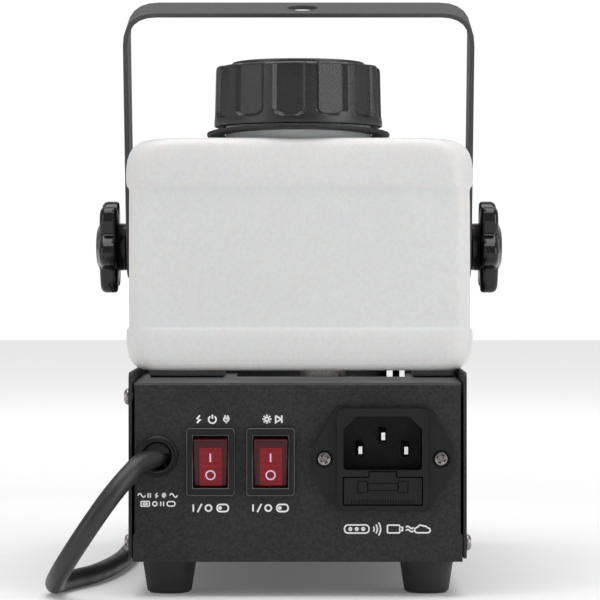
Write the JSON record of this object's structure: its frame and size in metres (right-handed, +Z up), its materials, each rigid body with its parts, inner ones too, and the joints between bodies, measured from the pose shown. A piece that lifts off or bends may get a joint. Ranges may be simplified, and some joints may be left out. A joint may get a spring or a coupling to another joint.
{
  "type": "fog machine",
  "caption": "Small fog machine: black steel housing with a white fluid bottle at the back, hanging yoke, star knobs, rocker switches, fused mains socket and mains lead.",
  "frame": {"origin": "centre of the machine's footprint box, on the floor under the feet, without the mains lead", "axes": "+Z up; -Y is the control panel with the bottle above it, +Y the fog nozzle; +X to the right seen from the control panel"},
  "size_m": [0.147, 0.3501, 0.1914],
  "materials": {
    "powder_coat": "fine black powder coat",
    "yoke_coat": "fine black powder coat",
    "bottle_plastic": "translucent white blow-moulded polyethylene",
    "cap_plastic": "satin black moulding",
    "knob_plastic": "gloss black moulding",
    "switch_plastic": "satin black moulding",
    "rocker_red": "translucent red moulding",
    "foot_rubber": "black rubber",
    "cord_rubber": "smooth black flexible PVC",
    "zinc_steel": "bright zinc plating",
    "dark_steel": "black zinc plating",
    "brass": "turned",
    "aluminium": "cast",
    "hose": "clear PVC and white PTFE hose",
    "board": "solder-masked circuit board",
    "lens": "clear LED lens",
    "fuse_glass": "glass tube with end caps",
    "foam": "black closed-cell foam"
  },
  "bodies": {
    "housing": {"base_tray": "powder_coat", "deck_cover": "powder_coat", "front_panel": "powder_coat", "left_side_panel": "powder_coat", "right_side_panel": "powder_coat", "neck_bracket": "powder_coat", "left_rear_lower_screw": "dark_steel", "left_rear_upper_screw": "dark_steel", "left_front_lower_screw": "dark_steel", "left_front_upper_screw": "dark_steel", "right_rear_lower_screw": "dark_steel", "right_front_lower_screw": "dark_steel", "right_front_upper_screw": "dark_steel", "pump_body": "dark_steel", "left_back_foot": "foot_rubber", "left_front_foot": "foot_rubber", "right_back_foot": "foot_rubber", "right_front_foot": "foot_rubber", "tank": "bottle_plastic", "tank_outlet": "brass", "nozzle": "brass", "left_tank_pad": "foam", "right_tank_pad": "foam", "left_pivot_washer": "zinc_steel", "right_pivot_washer": "zinc_steel", "left_pivot_nut": "zinc_steel", "right_pivot_nut": "zinc_steel", "inlet_earth_pin": "zinc_steel", "inlet_line_pin": "zinc_steel", "inlet_neutral_pin": "zinc_steel", "inlet_left_screw": "zinc_steel", "inlet_right_screw": "zinc_steel", "thermostat": "zinc_steel", "power_switch_body": "switch_plastic", "led_switch_body": "switch_plastic", "inlet_body": "switch_plastic", "cable_gland": "switch_plastic", "mains_cord": "cord_rubber", "mains_cord_coil": "cord_rubber", "mains_cord_tail": "cord_rubber", "mains_plug": "cord_rubber", "heater_block": "aluminium", "intake_hose": "hose", "pressure_hose": "hose", "control_board": "board", "led_lens_1": "lens", "led_lens_2": "lens", "led_lens_3": "lens"},
    "yoke": {"yoke": "yoke_coat"},
    "left_stud": {"left_knob_stud": "zinc_steel"},
    "left_knob": {"left_knob": "knob_plastic"},
    "right_stud": {"right_knob_stud": "zinc_steel"},
    "right_knob": {"right_knob": "knob_plastic"},
    "cap_seal": {"cap_seal": "foam"},
    "cap": {"tank_cap": "cap_plastic"},
    "power_rocker": {"power_rocker": "rocker_red"},
    "led_rocker": {"led_rocker": "rocker_red"},
    "fuse_drawer": {"fuse_drawer": "switch_plastic", "fuse": "fuse_glass"},
    "pump_plunger": {"pump_plunger": "zinc_steel"}
  },
  "joints": [
    {"name": "yoke_tilt", "type": "hinge", "parent": "housing", "child": "yoke", "pos_m": [0, -0.0292, 0.11], "axis": [1, 0, 0], "range_deg": [-70, 9.8]},
    {"name": "left_stud_slide", "type": "slide", "parent": "housing", "child": "left_stud", "axis": [-1, 0, 0], "range_m": [0, 0.0025]},
    {"name": "left_knob_turn", "type": "hinge", "parent": "left_stud", "child": "left_knob", "pos_m": [-0.064, -0.0292, 0.11], "axis": [-1, 0, 0], "range_deg": [0, 720]},
    {"name": "right_stud_slide", "type": "slide", "parent": "housing", "child": "right_stud", "axis": [1, 0, 0], "range_m": [0, 0.0025]},
    {"name": "right_knob_turn", "type": "hinge", "parent": "right_stud", "child": "right_knob", "pos_m": [0.064, -0.0292, 0.11], "axis": [1, 0, 0], "range_deg": [0, 720]},
    {"name": "cap_lift", "type": "slide", "parent": "housing", "child": "cap_seal", "axis": [0, 0, 1], "range_m": [0, 0.006]},
    {"name": "cap_turn", "type": "hinge", "parent": "cap_seal", "child": "cap", "pos_m": [0, -0.0792, 0.16], "axis": [0, 0, 1], "range_deg": [0, 540]},
    {"name": "power_rocker_tip", "type": "hinge", "parent": "housing", "child": "power_rocker", "pos_m": [-0.02695, -0.1138, 0.042], "axis": [1, 0, 0], "range_deg": [-24, 0]},
    {"name": "led_rocker_tip", "type": "hinge", "parent": "housing", "child": "led_rocker", "pos_m": [-0.00835, -0.1138, 0.042], "axis": [1, 0, 0], "range_deg": [-24, 0]},
    {"name": "fuse_drawer_slide", "type": "slide", "parent": "housing", "child": "fuse_drawer", "axis": [0, -1, 0], "range_m": [0, 0.018]},
    {"name": "pump_stroke", "type": "slide", "parent": "housing", "child": "pump_plunger", "axis": [0, 1, 0], "range_m": [0, 0.003], "stiffness_N_per_m": 300}
  ],
  "couplings": [
    {"joint": "left_stud_slide", "follows": "left_knob_turn", "m_per_rad": 0.00019894},
    {"joint": "right_stud_slide", "follows": "right_knob_turn", "m_per_rad": 0.00019894},
    {"joint": "cap_lift", "follows": "cap_turn", "m_per_rad": 0.00063662}
  ]
}
